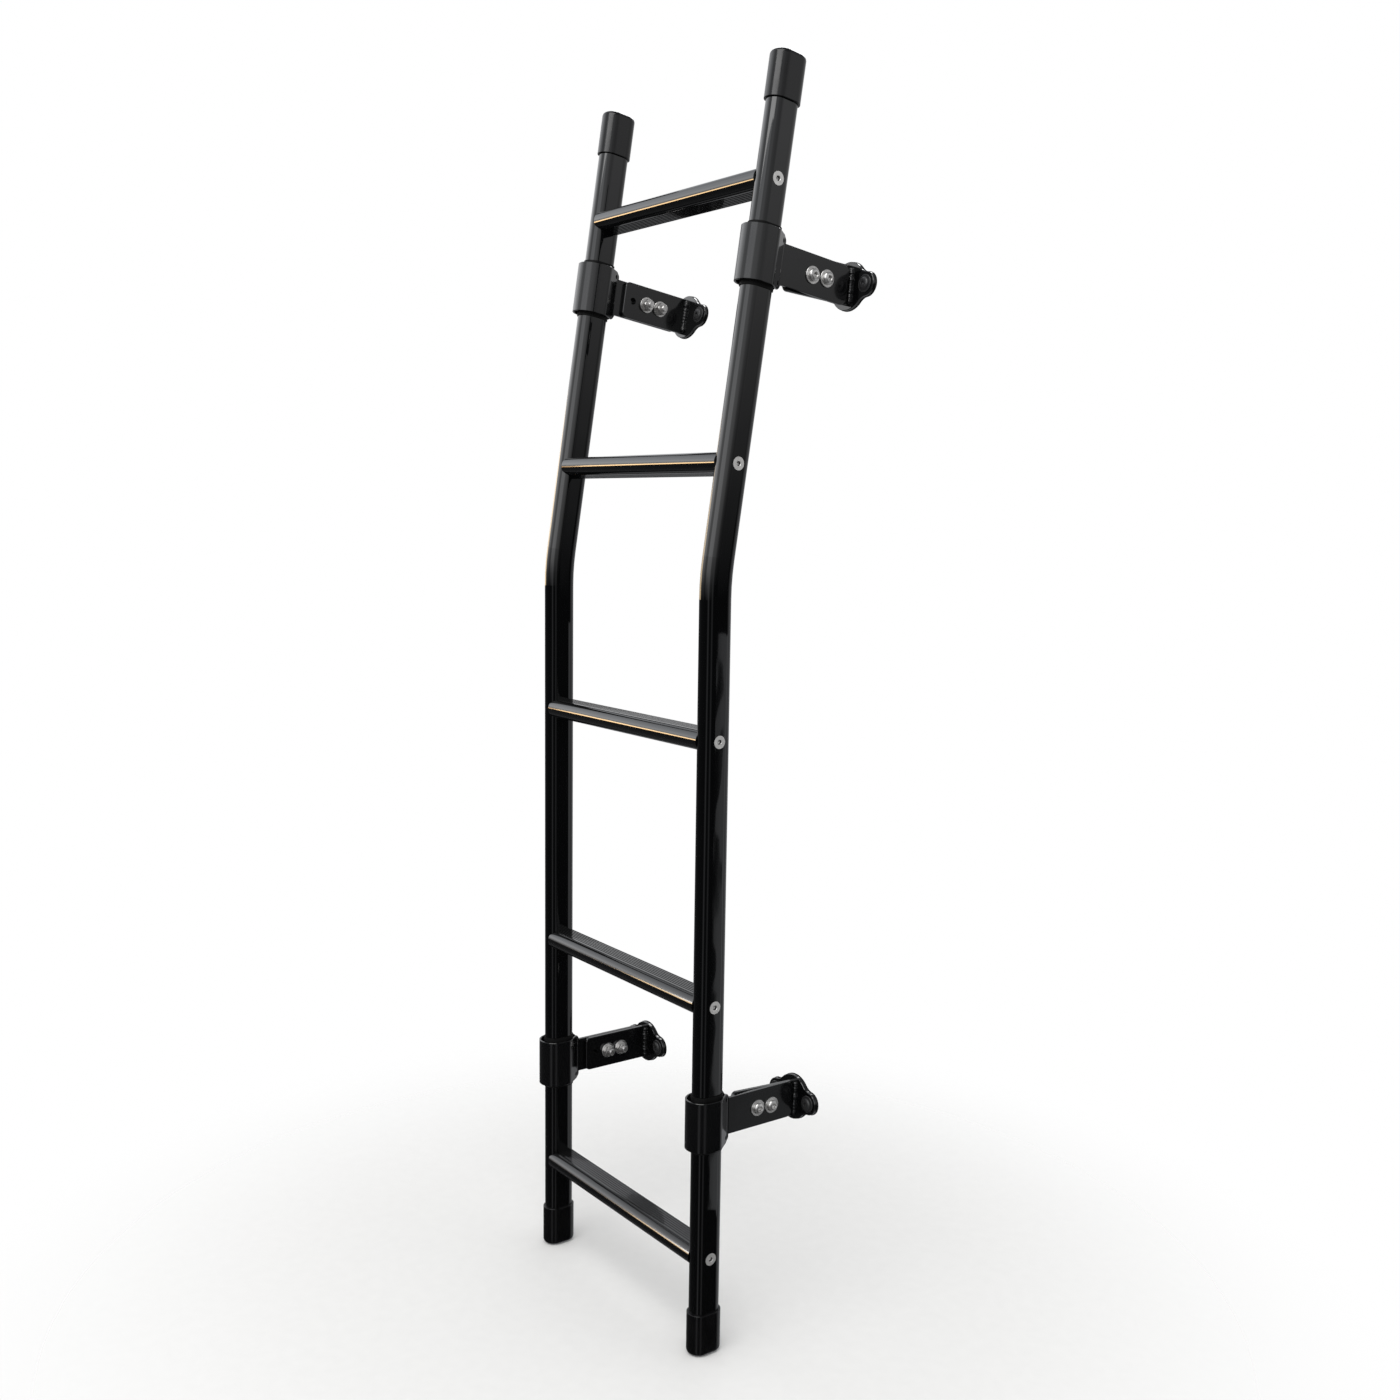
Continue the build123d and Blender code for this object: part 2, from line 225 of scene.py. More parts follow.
def groupFinish(name, look, group):
    material, tree, shader, place = newFinish(name)
    skin = addNode(tree, "ShaderNodeGroup", node_tree=group)
    if "stretch" in look:
        place = stretched(tree, place, look["stretch"])
    feedInputs(tree, skin, {**look["skin"], "Vector": place})
    feedInputs(tree, shader, {**look["shader"], "Base Color": skin.outputs["Colour"],
                              "Roughness": skin.outputs["Roughness"]})
    addBump(tree, shader, skin.outputs["Height"], look)
    return material


railLook = {
    "skin": {"Colour": (0.0014, 0.0015, 0.0017, 1), "Peel Scale": 520.0, "Peel Share": 0.003,
             "Wave Scale": 34.0, "Gloss Low": 0.012, "Gloss High": 0.04, "Dust": 0.012},
    "shader": {"IOR": 1.5, "Coat Weight": 0.35, "Coat Roughness": 0.03},
    "stretch": (1.0, 1.0, 0.45), "bumpDepth": 0.3 * mm, "bumpStrength": 0.50,
}
rungLook = {
    "skin": {"Colour": (0.0028, 0.0029, 0.0032, 1), "Peel Scale": 620.0, "Peel Share": 0.22,
             "Wave Scale": 55.0, "Gloss Low": 0.06, "Gloss High": 0.16, "Dust": 0.014},
    "shader": {"IOR": 1.5, "Coat Weight": 0.5, "Coat Roughness": 0.04},
    "stretch": (0.06, 1.0, 1.0), "bumpDepth": 0.3 * mm, "bumpStrength": 0.16,
}
bracketLook = {
    "skin": {"Colour": (0.0028, 0.0029, 0.0032, 1), "Peel Scale": 800.0, "Peel Share": 0.22,
             "Wave Scale": 70.0, "Gloss Low": 0.08, "Gloss High": 0.19, "Dust": 0.016},
    "shader": {"IOR": 1.5, "Coat Weight": 0.3, "Coat Roughness": 0.05},
    "bumpDepth": 0.3 * mm, "bumpStrength": 0.14,
}
capLook = {
    "skin": {"Colour": (0.0028, 0.0028, 0.0031, 1), "Grain Scale": 1500.0, "Flow Scale": 45.0,
             "Gloss Low": 0.10, "Gloss High": 0.20},
    "shader": {"IOR": 1.49},
    "bumpDepth": 0.2 * mm, "bumpStrength": 0.10,
}
rubberLook = {
    "skin": {"Colour": (0.0040, 0.0040, 0.0041, 1), "Grain Scale": 2200.0, "Flow Scale": 90.0,
             "Gloss Low": 0.55, "Gloss High": 0.75},
    "shader": {"IOR": 1.45, "Specular IOR Level": 0.22},
    "bumpDepth": 0.3 * mm, "bumpStrength": 0.25,
}
# rung bolts: socketShade is painted shade, a near-black colour laid on the socket walls where the recess would be in
# shadow
satinLook = {
    "pale": (0.92, 0.91, 0.89, 1), "dull": (0.76, 0.75, 0.73, 1), "socketShade": (0.012, 0.012, 0.012, 1),
    "wallDepth": (0.45 * mm, 0.8 * mm), "floorDepth": (2.90 * mm, 2.98 * mm),
    "drawScale": (420.0, 260.0, 260.0), "rough": (0.30, 0.48), "metallic": 0.80,
    "bumpDepth": 0.1 * mm, "bumpStrength": 0.15,
}
steelLook = {
    "pale": (0.82, 0.81, 0.79, 1), "dull": (0.62, 0.61, 0.60, 1),
    "drawScale": (700.0, 180.0, 180.0), "rough": (0.20, 0.40), "metallic": 0.95,
    "bumpDepth": 0.1 * mm, "bumpStrength": 0.12,
}
steelWear = {
    "lineScale": 3.0, "lineDetail": 3.0, "smudgeScale": 160.0, "smudgeDetail": 3.0, "smudgeShare": 0.5,
}


# mask for painted shade on the walls of the rung bolts' sockets, between the bright rim and the drilled point

def socketShadeMask(tree, place, look):
    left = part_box("left_rung_bolts")[0].x
    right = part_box("right_rung_bolts")[1].x
    offset = mathNode(tree, "SUBTRACT", axisOf(tree, place, "X"), 0.5 * (left + right))
    depth = mathNode(tree, "SUBTRACT", 0.5 * (right - left), mathNode(tree, "ABSOLUTE", offset))
    wall = mapRange(tree, depth, look["wallDepth"], unitSpan)
    aboveFloor = mapRange(tree, depth, look["floorDepth"], (1.0, 0.0))
    return mathNode(tree, "MULTIPLY", wall, aboveFloor)


# stainless fasteners: faint drawing lines, smudges that dull the shine

def steelFinish(name, look):
    material, tree, shader, place = newFinish(name)
    drawn = stretched(tree, place, look["drawScale"])
    lines = noise(tree, drawn, steelWear["lineScale"], steelWear["lineDetail"])
    smudge = noise(tree, place, steelWear["smudgeScale"], steelWear["smudgeDetail"])
    colour = mixColour(tree, mapRange(tree, smudge, noiseSpan, unitSpan), look["pale"], look["dull"])
    worn = mixValue(tree, steelWear["smudgeShare"], lines, smudge)
    # painted shade: the socket walls are darkened in the colour, standing in for the shade inside the recess
    if "socketShade" in look:
        colour = mixColour(tree, socketShadeMask(tree, place, look), colour, look["socketShade"])
    feedInputs(tree, shader, {"Metallic": look["metallic"], "Base Color": colour,
                              "Roughness": mapRange(tree, worn, noiseSpan, look["rough"])})
    addBump(tree, shader, lines, look)
    return material


finishes = {
    "rail_coat": groupFinish("railCoat", railLook, coatSkin),
    "rung_coat": groupFinish("rungCoat", rungLook, coatSkin),
    "bracket_coat": groupFinish("bracketCoat", bracketLook, coatSkin),
    "cap_plastic": groupFinish("capPlastic", capLook, mouldGrain),
    "rubber": groupFinish("blackRubber", rubberLook, mouldGrain),
    "stainless": steelFinish("stainlessSteel", steelLook),
}
satinSteel = steelFinish("satinSteel", satinLook)
for subpart in frame["record"]["subparts"]:
    name = subpart["node"]
    finish = finishes[subpart["material_slot"]]
    if name.endswith("rung_bolts"):
        finish = satinSteel
    for slot in frame["nodes"][name].material_slots:
        slot.material = finish
print("finishes on the ladder:", ", ".join(sorted(finishes)))


# where the four feet bear: middle of the two holes on the pad's back, direction out through the pad,
# hole spacing, side of the ladder

footLayout = {"plate": 3.5 * mm, "pad": 2.0 * mm}
footThickness = footLayout["plate"] + footLayout["pad"]


def footPlaces():
    places = []
    for mount in frame["record"]["mounts"]:
        if mount["kind"] != "bolt_pattern":
            continue
        dims = mount["dims"]
        places.append({
            "back": Vector(mount["pos_m"]), "axis": Vector(mount["axis"]),
            "spacing": dims.get("spacing_x_mm", dims.get("pcd_mm")) * mm,
            "outward": 1.0 if "right" in mount["name"] else -1.0})
    return places


# Geometry Nodes helpers

def geometryTree(name, sizes):
    tree = bpy.data.node_groups.new(name, "GeometryNodeTree")
    tree.interface.new_socket("Geometry", in_out="INPUT", socket_type="NodeSocketGeometry")
    identifiers = {}
    for label, kind in sizes.items():
        socket = tree.interface.new_socket(label, in_out="INPUT", socket_type="NodeSocket" + kind)
        identifiers[label] = socket.identifier
    tree.interface.new_socket("Geometry", in_out="OUTPUT", socket_type="NodeSocketGeometry")
    return tree, addNode(tree, "NodeGroupInput").outputs, identifiers


def finishTree(tree, given, geometry, smooth):
    shade = addNode(tree, "GeometryNodeSetShadeSmooth")
    feedInputs(tree, shade, {"Geometry": geometry, "Shade Smooth": smooth})
    realize = addNode(tree, "GeometryNodeRealizeInstances")
    feedInputs(tree, realize, {"Geometry": shade.outputs[0]})
    paint = addNode(tree, "GeometryNodeSetMaterial")
    feedInputs(tree, paint, {"Geometry": realize.outputs[0], "Material": given["Finish"]})
    feedInputs(tree, addNode(tree, "NodeGroupOutput"), {"Geometry": paint.outputs[0]})


def turnAlong(tree, vector):
    turn = addNode(tree, "FunctionNodeAlignRotationToVector", axis="Z")
    feedInputs(tree, turn, {"Vector": vector})
    return turn.outputs["Rotation"]


def facingRotation(tree):
    named = addNode(tree, "GeometryNodeInputNamedAttribute", data_type="FLOAT_VECTOR")
    feedInputs(tree, named, {"Name": "facing"})
    return turnAlong(tree, named.outputs["Attribute"])


def pathObject(name, points, edges=(), facing=()):
    mesh = bpy.data.meshes.new(name)
    mesh.from_pydata([tuple(point) for point in points], list(edges), [])
    if facing:
        layer = mesh.attributes.new("facing", "FLOAT_VECTOR", "POINT")
        for item, direction in zip(layer.data, facing):
            item.vector = direction
    piece = bpy.data.objects.new(name, mesh)
    scene.collection.objects.link(piece)
    return piece


def growPiece(piece, tree, identifiers, values):
    modifier = piece.modifiers.new(tree.name, "NODES")
    modifier.node_group = tree
    for label, value in values.items():
        modifier[identifiers[label]] = value
    bpy.context.view_layer.update()
    grown = piece.evaluated_get(bpy.context.evaluated_depsgraph_get())
    mesh = bpy.data.meshes.new_from_object(grown)
    piece.modifiers.clear()
    piece.data = mesh
    mesh.name = piece.name


def placePiece(piece):
    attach(piece, "root")
    print("made", piece.name, "with", len(piece.data.polygons), "faces")


# turned shape from rings of (radius, height, hex or not); a hex ring's radius reaches to its flats

def turnedMesh(name, rings, steps):
    build = bmesh.new()
    loops = []
    for radius, height, isHex in rings:
        loop = []
        for step in range(steps):
            angle = 2.0 * math.pi * step / steps
            reach = radius
            if isHex:
                reach = radius / math.cos((angle + math.pi / 6) % (math.pi / 3) - math.pi / 6)
            loop.append(build.verts.new((reach * math.cos(angle), reach * math.sin(angle), height)))
        loops.append(loop)
    for lower, upper in zip(loops, loops[1:]):
        for step in range(steps):
            following = (step + 1) % steps
            build.faces.new((lower[step], lower[following], upper[following], upper[step]))
    build.faces.new(list(reversed(loops[0])))
    build.faces.new(loops[-1])
    bmesh.ops.recalc_face_normals(build, faces=build.faces)
    mesh = bpy.data.meshes.new(name)
    build.to_mesh(mesh)
    build.free()
    return mesh


# foot bolts: black button heads on washers, one in each foot hole

footBolt = {
    "washerRadius": 10.0 * mm, "washerHeight": 1.3 * mm, "washerEdge": 0.35 * mm,
    "headRadius": 7.0 * mm, "headHeight": 2.8 * mm, "headEdge": 0.7 * mm, "headBreak": 0.3 * mm,
    "domeRings": 6, "topRadius": 3.4 * mm, "socketFlat": 2.0 * mm, "socketDepth": 1.9 * mm,
    "socketBreak": 0.15 * mm, "pointDepth": 0.6 * mm, "pointShare": 0.3,
    "shankRadius": 3.9 * mm, "shankShort": 0.3 * mm, "seat": 0.02 * mm, "steps": 48, "seed": 4,
}
boltLook = {
    "skin": {"Colour": (0.022, 0.022, 0.023, 1), "Peel Scale": 900.0, "Peel Share": 0.22,
             "Wave Scale": 120.0, "Gloss Low": 0.28, "Gloss High": 0.42, "Dust": 0.01},
    "shader": {"IOR": 1.6},
    "bumpDepth": 0.2 * mm, "bumpStrength": 0.12,
}


def footBoltMesh(size):
    shank = size["shankRadius"]
    washer = size["washerRadius"]
    head = size["headRadius"]
    socket = size["socketFlat"]
    edge = size["washerEdge"]
    washerTop = size["washerHeight"]
    domeStart = washerTop + size["headEdge"]
    headTop = washerTop + size["headHeight"]
    socketFloor = headTop - size["socketDepth"]
    reach = footThickness - size["shankShort"]
    rings = [
        (shank - edge, -reach, False), (shank, -reach + edge, False), (shank, 0.0, False),
        (washer - edge, 0.0, False), (washer, edge, False),
        (washer, washerTop - edge, False), (washer - edge, washerTop, False),
        (head - size["headBreak"], washerTop, False), (head, washerTop + size["headBreak"], False),
        (head, domeStart, False),
    ]
    for ring in range(1, size["domeRings"] + 1):
        angle = 0.5 * math.pi * ring / size["domeRings"]
        radius = size["topRadius"] + (head - size["topRadius"]) * math.cos(angle)
        rings.append((radius, domeStart + (headTop - domeStart) * math.sin(angle), False))
    rings += [
        (socket + size["socketBreak"], headTop, True), (socket, headTop - size["socketBreak"], True),
        (socket, socketFloor, True), (socket * size["pointShare"], socketFloor - size["pointDepth"], False),
    ]
    return turnedMesh("footBoltShape", rings, size["steps"])


def makeFootBolts():
    tree, given, identifiers = geometryTree("footBoltTree", {
        "Bolt": "Object", "Size": "Float", "Seed": "Int", "Finish": "Material"})
    shape = addNode(tree, "GeometryNodeObjectInfo", transform_space="ORIGINAL")
    feedInputs(tree, shape, {"Object": given["Bolt"]})
    spin = addNode(tree, "FunctionNodeRandomValue", data_type="FLOAT")
    feedInputs(tree, spin, {3: 2.0 * math.pi, "Seed": given["Seed"]})    # 3 is the largest angle
    twist = addNode(tree, "FunctionNodeAxisAngleToRotation")
    feedInputs(tree, twist, {"Axis": (0.0, 0.0, 1.0), "Angle": spin.outputs[1]})
    turn = addNode(tree, "FunctionNodeRotateRotation", rotation_space="LOCAL")
    feedInputs(tree, turn, {"Rotation": facingRotation(tree), "Rotate By": twist.outputs[0]})
    spread = addNode(tree, "GeometryNodeInstanceOnPoints")
    feedInputs(tree, spread, {"Points": given["Geometry"], "Instance": shape.outputs["Geometry"],
                              "Rotation": turn.outputs[0], "Scale": given["Size"]})
    finishTree(tree, given, spread.outputs[0], smooth=False)
    pattern = bpy.data.objects.new("footBoltShape", footBoltMesh(footBolt))
    scene.collection.objects.link(pattern)
    points = []
    facing = []
    for foot in footPlaces():
        face = foot["back"] - foot["axis"] * (footThickness + footBolt["seat"])
        for side in (-0.5, 0.5):
            points.append(face + Vector((side * foot["spacing"], 0.0, 0.0)))
            facing.append(-foot["axis"])
    piece = pathObject("foot_bolts", points, facing=facing)
    growPiece(piece, tree, identifiers, {"Bolt": pattern, "Size": 1.0, "Seed": footBolt["seed"],
                                         "Finish": groupFinish("boltBlack", boltLook, coatSkin)})
    bpy.data.objects.remove(pattern)
    placePiece(piece)


makeFootBolts()


# weld beads: overlapping ripples along both corners between each foot arm and its plate

weldBead = {
    "halfLength": 17.5 * mm, "corners": (5.5 * mm, 0.5 * mm), "radius": 4.2 * mm, "pitch": 1.9 * mm,
    "flat": 0.85, "roundness": 3, "swell": (0.78, 1.12), "swellScale": 190.0, "swellDetail": 2.0,
    "swellSpan": (0.35, 0.65), "stray": 0.35 * mm, "seed": 11,
}


def makeWeldBeads():
    tree, given, identifiers = geometryTree("weldBeadTree", {
        "Ripple Radius": "Float", "Ripple Pitch": "Float", "Ripple Flat": "Float", "Seed": "Int",
        "Finish": "Material"})
    path = addNode(tree, "GeometryNodeMeshToCurve")
    feedInputs(tree, path, {"Mesh": given["Geometry"]})
    beads = addNode(tree, "GeometryNodeResampleCurve", mode="LENGTH")
    feedInputs(tree, beads, {"Curve": path.outputs[0], "Length": given["Ripple Pitch"]})
    stray = addNode(tree, "FunctionNodeRandomValue", data_type="FLOAT_VECTOR")
    feedInputs(tree, stray, {0: (-weldBead["stray"],) * 3, 1: (weldBead["stray"],) * 3,
                             "Seed": given["Seed"]})    # 0 and 1 are the smallest and largest shift
    push = addNode(tree, "GeometryNodeSetPosition")
    feedInputs(tree, push, {"Geometry": beads.outputs[0], "Offset": stray.outputs[0]})
    ripple = addNode(tree, "GeometryNodeMeshIcoSphere")
    feedInputs(tree, ripple, {"Radius": given["Ripple Radius"], "Subdivisions": weldBead["roundness"]})
    squeeze = addNode(tree, "ShaderNodeCombineXYZ")
    feedInputs(tree, squeeze, {"X": 1.0, "Y": 1.0, "Z": given["Ripple Flat"]})
    flatten = addNode(tree, "GeometryNodeTransform")
    feedInputs(tree, flatten, {"Geometry": ripple.outputs["Mesh"], "Scale": squeeze.outputs[0]})
    place = addNode(tree, "GeometryNodeInputPosition").outputs[0]
    swell = noise(tree, place, weldBead["swellScale"], weldBead["swellDetail"])
    tangent = addNode(tree, "GeometryNodeInputTangent").outputs[0]
    spread = addNode(tree, "GeometryNodeInstanceOnPoints")
    feedInputs(tree, spread, {
        "Points": push.outputs[0], "Instance": flatten.outputs[0], "Rotation": turnAlong(tree, tangent),
        "Scale": mapRange(tree, swell, weldBead["swellSpan"], weldBead["swell"])})
    finishTree(tree, given, spread.outputs[0], smooth=True)
    points = []
    edges = []
    for foot in footPlaces():
        face = foot["back"] - foot["axis"] * footThickness
        along = Vector((1.0, 0.0, 0.0)).cross(foot["axis"]) * weldBead["halfLength"]
        for corner in weldBead["corners"]:
            middle = face + Vector((foot["outward"] * corner, 0.0, 0.0))
            points += [middle - along, middle + along]
            edges.append((len(points) - 2, len(points) - 1))
    piece = pathObject("foot_weld_beads", points, edges)
    growPiece(piece, tree, identifiers, {
        "Ripple Radius": weldBead["radius"], "Ripple Pitch": weldBead["pitch"],
        "Ripple Flat": weldBead["flat"], "Seed": weldBead["seed"], "Finish": finishes["bracket_coat"]})
    placePiece(piece)


makeWeldBeads()


# threads on the bolt ends that stand out of the lock nuts

boltThread = {
    "radius": 3.85 * mm, "wire": 0.36 * mm, "pitch": 1.25 * mm, "nutClear": 0.35 * mm,
    "tipClear": 0.525 * mm, "turnSteps": 28, "wireSteps": 5,
}


def nutCentres(shape):
    corners = [vertex.co for vertex in shape.vertices]
    middle = 0.5 * (min(corner.y for corner in corners) + max(corner.y for corner in corners))
    nearNut = [corner for corner in corners if corner.y < middle]
    farNut = [corner for corner in corners if corner.y > middle]
    centres = []
    for nut in (nearNut, farNut):
        low = Vector([min(corner[axis] for corner in nut) for axis in range(3)])
        high = Vector([max(corner[axis] for corner in nut) for axis in range(3)])
        centres.append(0.5 * (low + high))
    return centres


def boltTips():
    tips = []
    for bracket in ("upper_left", "upper_right", "lower_left", "lower_right"):
        tipSide = 1.0 if "left" in bracket else -1.0
        low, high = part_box(bracket + "_arm_nuts")
        boltLow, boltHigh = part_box(bracket + "_arm_bolts")
        nutEnd = high.x if tipSide > 0 else low.x
        boltEnd = boltHigh.x if tipSide > 0 else boltLow.x
        for centre in nutCentres(frame["nodes"][bracket + "_arm_nuts"].data):
            tips.append({"place": Vector((nutEnd, centre.y, centre.z)),
                         "direction": Vector((tipSide, 0.0, 0.0)), "length": abs(boltEnd - nutEnd)})
    return tips


def makeBoltThreads():
    tree, given, identifiers = geometryTree("boltThreadTree", {
        "Thread Radius": "Float", "Wire Radius": "Float", "Thread Length": "Float", "Turns": "Float",
        "Finish": "Material"})
    helix = addNode(tree, "GeometryNodeCurveSpiral")
    feedInputs(tree, helix, {
        "Resolution": boltThread["turnSteps"], "Rotations": given["Turns"],
        "Height": given["Thread Length"], "Start Radius": given["Thread Radius"],
        "End Radius": given["Thread Radius"]})
    wire = addNode(tree, "GeometryNodeCurvePrimitiveCircle")
    feedInputs(tree, wire, {"Resolution": boltThread["wireSteps"], "Radius": given["Wire Radius"]})
    sweep = addNode(tree, "GeometryNodeCurveToMesh")
    feedInputs(tree, sweep, {"Curve": helix.outputs[0], "Profile Curve": wire.outputs[0],
                             "Fill Caps": True})
    spread = addNode(tree, "GeometryNodeInstanceOnPoints")
    feedInputs(tree, spread, {"Points": given["Geometry"], "Instance": sweep.outputs[0],
                              "Rotation": facingRotation(tree)})
    finishTree(tree, given, spread.outputs[0], smooth=True)
    tips = boltTips()
    points = [tip["place"] + tip["direction"] * boltThread["nutClear"] for tip in tips]
    piece = pathObject("bolt_threads", points, facing=[tip["direction"] for tip in tips])
    threaded = min(tip["length"] for tip in tips) - boltThread["nutClear"] - boltThread["tipClear"]
    growPiece(piece, tree, identifiers, {
        "Thread Radius": boltThread["radius"], "Wire Radius": boltThread["wire"],
        "Thread Length": threaded, "Turns": threaded / boltThread["pitch"],
        "Finish": finishes["stainless"]})
    placePiece(piece)


makeBoltThreads()


# floor: a pale round that thins out to nothing at its rim

floorLook = {
    "radius": 0.95, "fade": (0.35, 0.931), "gap": 0.3 * mm, "centre": (-0.157, -0.1), "steps": 96,
    "colour": (0.89, 0.89, 0.885, 1), "fleckScale": 60.0, "fleckDetail": 3.0, "tone": (0.99, 1.01),
    "rough": (0.75, 0.85), "specular": 0.2,
}


def floorFinish(look):
    material, tree, shader, place = newFinish("paleFloor")
    fleck = noise(tree, place, look["fleckScale"], look["fleckDetail"])
    distance = addNode(tree, "ShaderNodeVectorMath", operation="LENGTH")
    feedInputs(tree, distance, {0: place})
    fade = addNode(tree, "ShaderNodeMapRange", interpolation_type="SMOOTHSTEP")
    feedInputs(tree, fade, {"Value": distance.outputs["Value"], "From Min": look["fade"][0],
                            "From Max": look["fade"][1], "To Min": 1.0, "To Max": 0.0})
    feedInputs(tree, shader, {
        "Base Color": shadeColour(tree, look["colour"], mapRange(tree, fleck, noiseSpan, look["tone"])),
        "Roughness": mapRange(tree, fleck, noiseSpan, look["rough"]),
        "Specular IOR Level": look["specular"], "Alpha": fade.outputs["Result"]})
    return material


def makeFloor(look):
    mesh = bpy.data.meshes.new("studioFloor")
    build = bmesh.new()
    bmesh.ops.create_circle(build, cap_ends=True, segments=look["steps"], radius=look["radius"])
    build.to_mesh(mesh)
    build.free()
    floor = bpy.data.objects.new("studioFloor", mesh)
    floor.location = (*look["centre"], cadBox[0][2] - look["gap"])
    scene.collection.objects.link(floor)
    mesh.materials.append(floorFinish(look))
    floor.visible_glossy = False    # not mirrored in the coat, so the lower pieces stay dark


makeFloor(floorLook)


# light: soft white all round; in the coat it shows as a pale upper half over a dark lower half;
# both lists of strengths go once round the ladder, by the share of a turn

studioLight = {
    "level": 0.78, "wobble": 0.03, "wobbleScale": 2.6, "wobbleDetail": 4.0,
    "horizon": (-0.03, 0.22), "peak": 2.4,
    "bands": [(-0.06, (0.90, 0.91, 0.94, 1)), (0.12, (0.96, 0.96, 0.97, 1)),
              (0.30, (0.97, 0.98, 1.0, 1)), (0.50, (0.66, 0.68, 0.71, 1)),
              (0.75, (0.36, 0.37, 0.39, 1)), (0.95, (0.22, 0.23, 0.24, 1))],
    "upperAround": [(0.0, 1.2), (0.04, 2.0), (0.09, 2.2), (0.15, 1.9), (0.17, 1.1), (0.23, 1.0),
                    (0.25, 2.1), (0.35, 2.0), (0.37, 1.1), (0.44, 0.9), (0.47, 0.6), (0.53, 0.45),
                    (0.60, 0.66), (0.68, 0.50), (0.80, 0.60), (0.90, 0.80), (1.0, 1.2)],
    "lowerAround": [(0.0, 0.10), (0.10, 0.04), (0.31, 0.02), (0.345, 0.38), (0.375, 0.02),
                    (0.42, 0.02), (0.45, 0.26), (0.485, 0.015), (0.64, 0.015), (0.70, 0.40),
                    (0.83, 0.40), (0.90, 0.30), (1.0, 0.10)],
}


def strengthAround(tree, turn, stops):
    peak = studioLight["peak"]
    return rampNode(tree, turn, [(place, (value / peak,) * 3 + (1.0,)) for place, value in stops])


def plainLight(tree, colour, strength):
    node = addNode(tree, "ShaderNodeBackground")
    feedInputs(tree, node, {"Color": colour, "Strength": strength})
    return node.outputs[0]


def mixLight(tree, factor, first, second):
    node = addNode(tree, "ShaderNodeMixShader")
    feedInputs(tree, node, {0: factor, 1: first, 2: second})
    return node.outputs[0]


def makeWorld(look):
    world = bpy.data.worlds.new("studioWorld")
    scene.world = world
    world.use_nodes = True
    tree = world.node_tree
    tree.nodes.clear()
    ray = addNode(tree, "ShaderNodeLightPath").outputs
    direction = addNode(tree, "ShaderNodeTexCoord").outputs["Generated"]
    turn = addNode(tree, "ShaderNodeTexGradient", gradient_type="RADIAL")
    feedInputs(tree, turn, {"Vector": direction})
    wobble = noise(tree, direction, look["wobbleScale"], look["wobbleDetail"])
    drift = mapRange(tree, wobble, noiseSpan, (-look["wobble"], look["wobble"]))
    rise = mathNode(tree, "ADD", axisOf(tree, direction, "Z"), drift)
    bands = [(0.5 + 0.5 * height, colour) for height, colour in look["bands"]]
    colour = rampNode(tree, mapRange(tree, rise, (-1.0, 1.0), unitSpan), bands)
    upper = strengthAround(tree, turn.outputs["Fac"], look["upperAround"])
    lower = strengthAround(tree, turn.outputs["Fac"], look["lowerAround"])
    level = mixColour(tree, mapRange(tree, rise, look["horizon"], unitSpan), lower, upper)
    mirrored = plainLight(tree, colour, mathNode(tree, "MULTIPLY", level, look["peak"]))
    soft = plainLight(tree, pureWhite, look["level"])
    inMirror = mathNode(tree, "MAXIMUM", ray["Is Glossy Ray"], ray["Is Transmission Ray"])
    lit = mixLight(tree, inMirror, soft, mirrored)
    seen = mixLight(tree, ray["Is Camera Ray"], lit, plainLight(tree, pureWhite, 1.0))
    feedInputs(tree, addNode(tree, "ShaderNodeOutputWorld"), {"Surface": seen})


# lamps: most are seen only as reflections, some of them only on the pieces they are made for

upperRungs = ["rung_3", "rung_4", "rung_5"]
railNames = [name for name in frame["nodes"] if name.endswith("_rail")]
rightSteel = [name for name in frame["nodes"]
              if "right" in name and name.endswith(("_bolts", "_washers"))]
lampTarget = Vector((-0.157, -0.10, 0.45))
lampLooks = {
    "horizonStrip": {"place": (-8.7, -8.5, 0.95), "size": (5.4, 1.5), "power": 250.0,
                     "colour": (1.0, 0.70, 0.37), "reflectionOnly": True, "onto": upperRungs},
    "amberStrip": {"place": (-9.9, -7.0, 0.55), "size": (8.0, 0.8), "power": 70.0,
                   "colour": (1.0, 0.56, 0.22), "reflectionOnly": True, "onto": upperRungs},
    "leftGlow": {"place": (-10.1, -1.0, 1.1), "size": (7.3, 2.0), "power": 125.0,
                 "colour": (1.0, 0.76, 0.46), "reflectionOnly": True, "onto": railNames},
    "backRim": {"place": (-2.2, 2.3, 3.2), "size": (1.8, 1.2), "power": 34.0,
                "colour": (1.0, 1.0, 1.0), "reflectionOnly": True},
    "sidePanel": {"place": (2.032, 2.362, -0.70), "size": (1.56, 2.0), "power": 4.6, "aimHeight": -0.70,
                  "colour": (0.95, 0.97, 1.0), "reflectionOnly": True, "onto": railNames + rightSteel},
    "softKey": {"place": (0.6, -1.6, 3.0), "size": (2.2, 2.2), "power": 42.0,
                "colour": (1.0, 0.99, 0.97), "reflectionOnly": False},
}
lampLooks["armPanel"] = {**lampLooks["sidePanel"], "power": 2.3, "onto": ["lower_right_arm"]}
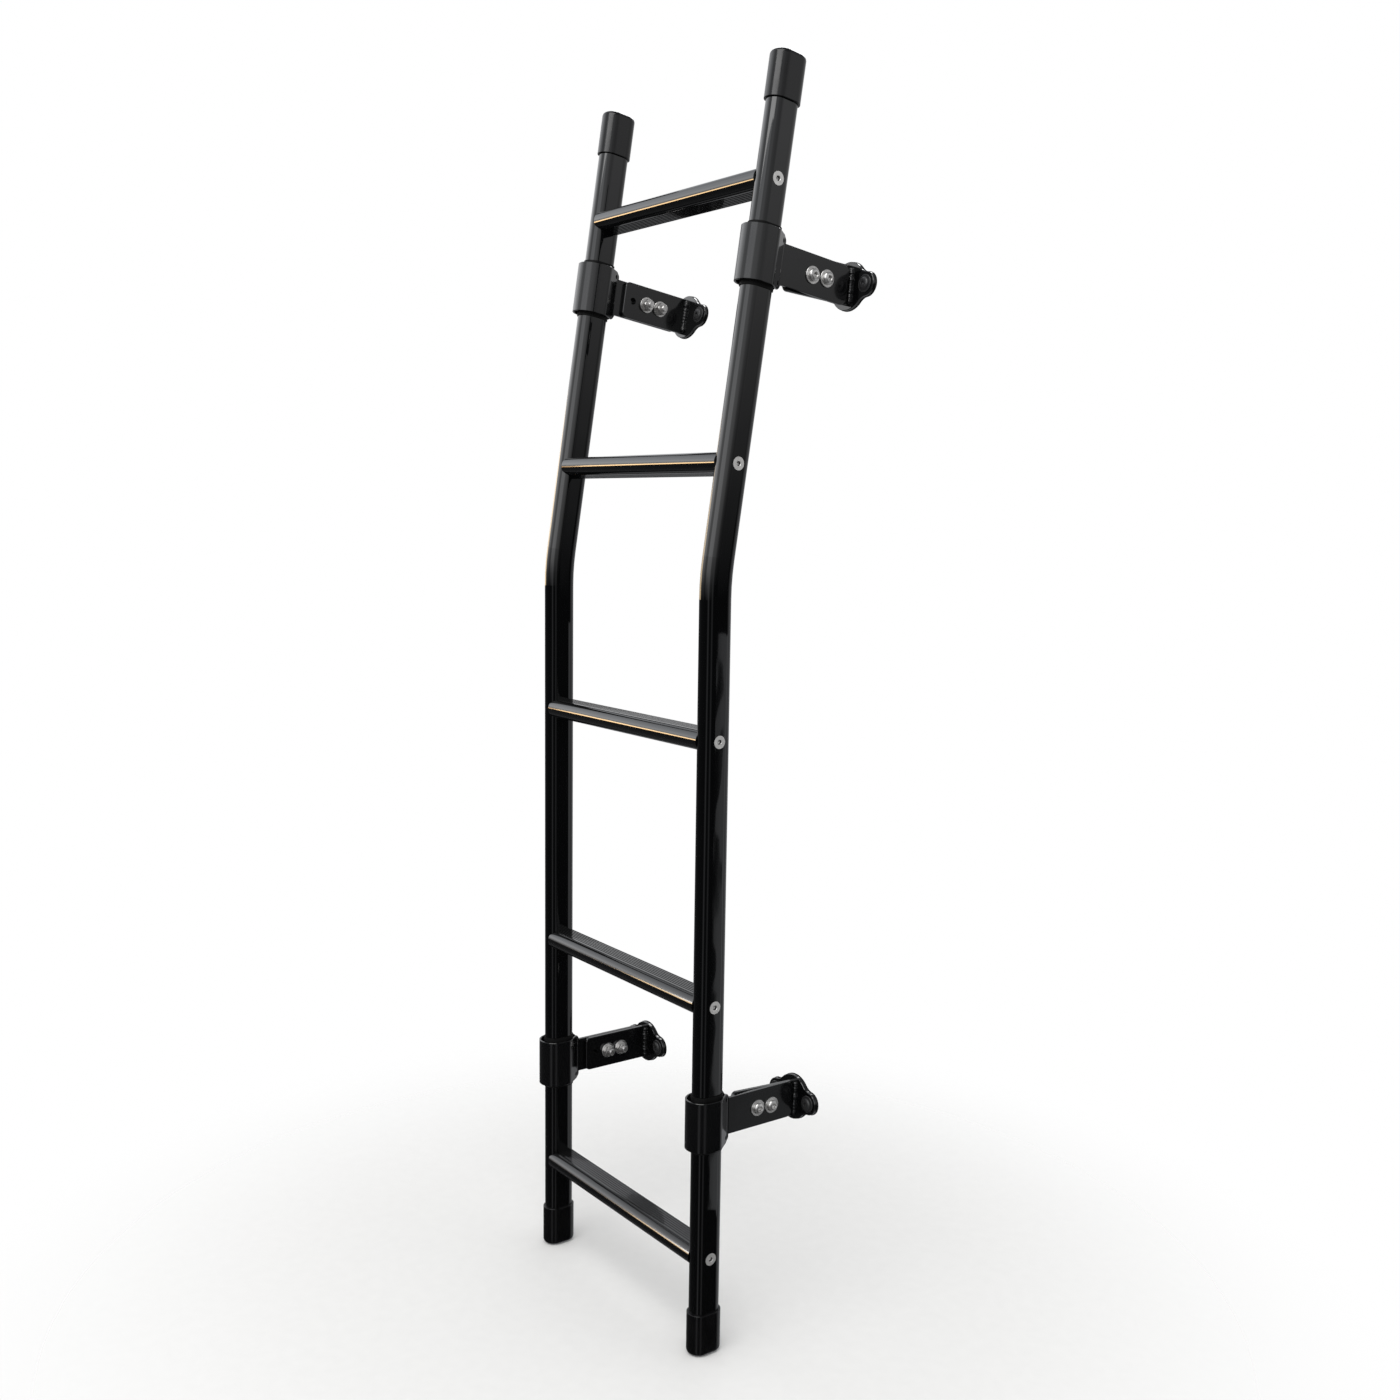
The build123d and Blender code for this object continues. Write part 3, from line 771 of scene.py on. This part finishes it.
lowRungShine = {
    "headings": {"rung_1": -131.0, "rung_2": -135.0},    # degrees from +X
    "distance": 12.0,
    "lamps": {"Gold": {"height": 0.95, "size": (2.9, 1.5), "power": 130.0, "colour": (1.0, 0.70, 0.37)},
              "White": {"height": 3.2, "size": (2.5, 2.8), "power": 250.0, "colour": (1.0, 0.95, 0.90)}},
}


def addLowRungLamps():
    reach = lowRungShine["distance"]
    for rungName, heading in lowRungShine["headings"].items():
        alongX = reach * math.cos(math.radians(heading))
        alongY = reach * math.sin(math.radians(heading))
        for part, look in lowRungShine["lamps"].items():
            spot = (lampTarget.x + alongX, lampTarget.y + alongY, look["height"])
            lampLooks[rungName + part] = {**look, "place": spot, "reflectionOnly": True, "onto": [rungName]}


def makeLamps():
    for name, look in lampLooks.items():
        light = bpy.data.lights.new(name, "AREA")
        light.shape = "RECTANGLE"
        light.size, light.size_y = look["size"]
        light.energy = look["power"]
        light.color = look["colour"]
        lamp = bpy.data.objects.new(name, light)
        lamp.location = look["place"]
        aim = Vector((lampTarget.x, lampTarget.y, look.get("aimHeight", lampTarget.z)))
        lamp.rotation_euler = (aim - lamp.location).to_track_quat("-Z", "Y").to_euler()
        lamp.visible_camera = False
        lamp.visible_diffuse = not look["reflectionOnly"]
        scene.collection.objects.link(lamp)
        if "onto" in look:
            lit = bpy.data.collections.new(name + "Lit")
            for piece in look["onto"]:
                lit.objects.link(frame["nodes"][piece])
            lamp.light_linking.receiver_collection = lit


makeWorld(studioLight)
addLowRungLamps()
makeLamps()
print("floor, world and", len(lampLooks), "lamps set")


# camera: standing to the right of the ladder, a little below the middle of its upper half

cameraLook = {
    "place": (1.317625, -1.131556, 0.700468), "right": (0.586455, 0.809870, 0.013500),
    "up": (-0.130011, 0.077668, 0.988466), "back": (0.799480, -0.581445, 0.150841),
    "lens": 38.4677, "sensor": 36.0, "shift": (0.011167, 0.027729),
}


def makeCamera(look):
    view = bpy.data.cameras.new("photoView")
    view.sensor_width = look["sensor"]
    view.lens = look["lens"]
    view.shift_x, view.shift_y = look["shift"]
    holder = bpy.data.objects.new("photoView", view)
    axes = Matrix((look["right"], look["up"], look["back"])).transposed()
    holder.matrix_world = Matrix.Translation(look["place"]) @ axes.to_4x4()
    scene.collection.objects.link(holder)
    scene.camera = holder


makeCamera(cameraLook)
print("camera set")
